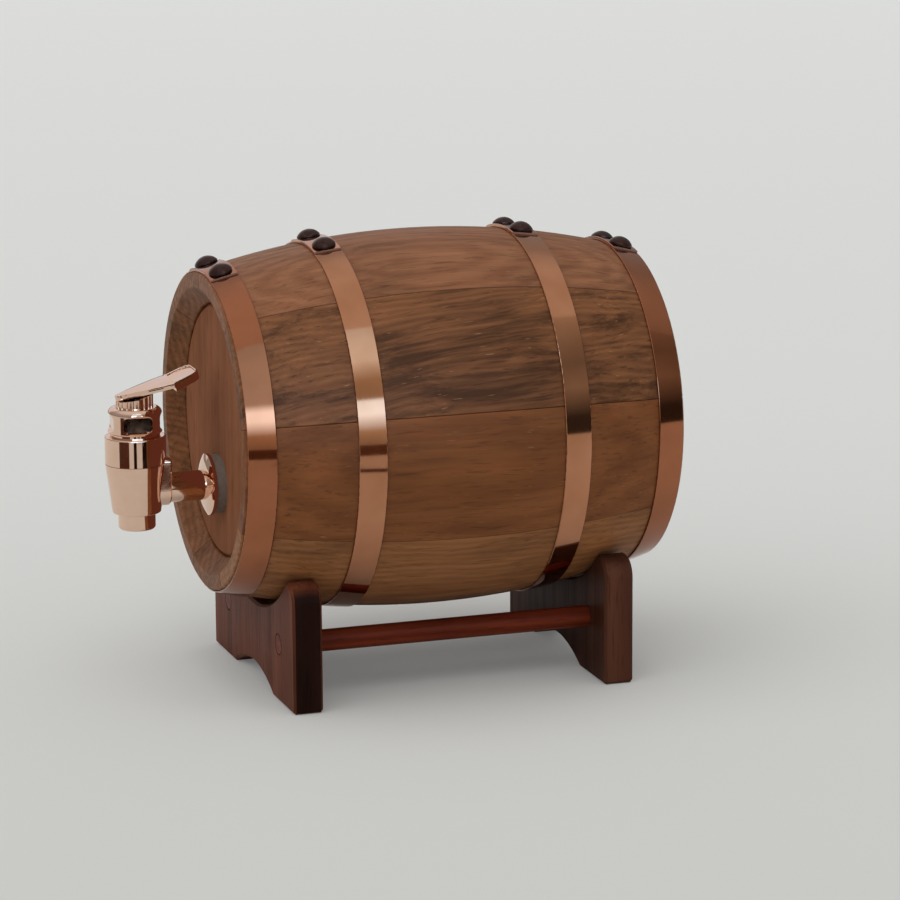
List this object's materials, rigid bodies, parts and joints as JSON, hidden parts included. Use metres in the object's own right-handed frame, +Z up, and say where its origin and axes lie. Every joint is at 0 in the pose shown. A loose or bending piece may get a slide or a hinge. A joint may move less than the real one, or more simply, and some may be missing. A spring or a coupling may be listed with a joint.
{
  "type": "oak cask liquor dispenser",
  "caption": "Small lying stave cask in a two-plank stand, with lapped copper hoops, dome nails, a rear bung and a lever tap whose cam ears lift a sprung valve",
  "frame": {"origin": "On the surface the stand rests on, below the middle of the overall length, from the tap's front to the bung's knob.", "axes": "+Z up, +Y along the cask from the tap to the bung, +X to the right of someone who stands before the tap and looks along +Y."},
  "size_m": [0.126, 0.1875, 0.1505],
  "materials": {
    "stave_oak": "oiled oak with dark streaks, satin",
    "head_oak": "oiled oak end disc, satin",
    "bung_oak": "turned oak, satin",
    "hoop_copper": "copper-coloured band, brushed round the hoop",
    "nail_bronze": "dark bronze dome nails, semi-gloss",
    "tap_plating": "rose-gold plating, polished",
    "washer_rubber": "grey moulded rubber",
    "seal_silicone": "translucent white silicone",
    "bright_steel": "bright steel",
    "stand_wood": "dark reddish mahogany, satin",
    "dowel_wood": "reddish mahogany dowel, satin"
  },
  "bodies": {
    "stand": {"front_cradle": "stand_wood", "rear_cradle": "stand_wood", "left_dowel": "dowel_wood", "right_dowel": "dowel_wood"},
    "cask": {"stave_1": "stave_oak", "stave_2": "stave_oak", "stave_3": "stave_oak", "stave_4": "stave_oak", "stave_5": "stave_oak", "stave_6": "stave_oak", "stave_7": "stave_oak", "stave_8": "stave_oak", "stave_9": "stave_oak", "front_head": "head_oak", "rear_head": "head_oak", "front_end_hoop": "hoop_copper", "front_belly_hoop": "hoop_copper", "rear_belly_hoop": "hoop_copper", "rear_end_hoop": "hoop_copper", "front_end_nails": "nail_bronze", "front_belly_nails": "nail_bronze", "rear_belly_nails": "nail_bronze", "rear_end_nails": "nail_bronze", "tap_body": "tap_plating", "outlet_shroud": "tap_plating", "tap_cap": "tap_plating", "stem_o_ring": "washer_rubber", "flange_gasket": "washer_rubber", "inner_washer": "washer_rubber", "lock_nut": "bright_steel", "return_spring": "bright_steel"},
    "stem": {"valve_stem": "bright_steel", "valve_seal": "seal_silicone"},
    "lever": {"tap_lever": "tap_plating", "lever_pin": "bright_steel"},
    "bung": {"bung": "bung_oak"}
  },
  "joints": [
    {"name": "cask_lift", "type": "slide", "parent": "stand", "child": "cask", "axis": [0, 0, 1], "range_m": [0, 0.06]},
    {"name": "bung_pull", "type": "slide", "parent": "cask", "child": "bung", "axis": [0, 1, 0], "range_m": [0, 0.035]},
    {"name": "valve_lift", "type": "slide", "parent": "cask", "child": "stem", "axis": [0, 0, 1], "range_m": [0, 0.00109], "stiffness_N_per_m": 800, "springref_m": -0.0002, "deforming": ["return_spring"]},
    {"name": "lever_press", "type": "hinge", "parent": "stem", "child": "lever", "pos_m": [0, -0.08365, 0.09828], "axis": [-1, 0, 0], "range_deg": [0, 25]}
  ],
  "couplings": [
    {"joint": "lever_press", "follows": "valve_lift", "rad_per_m": 400}
  ]
}
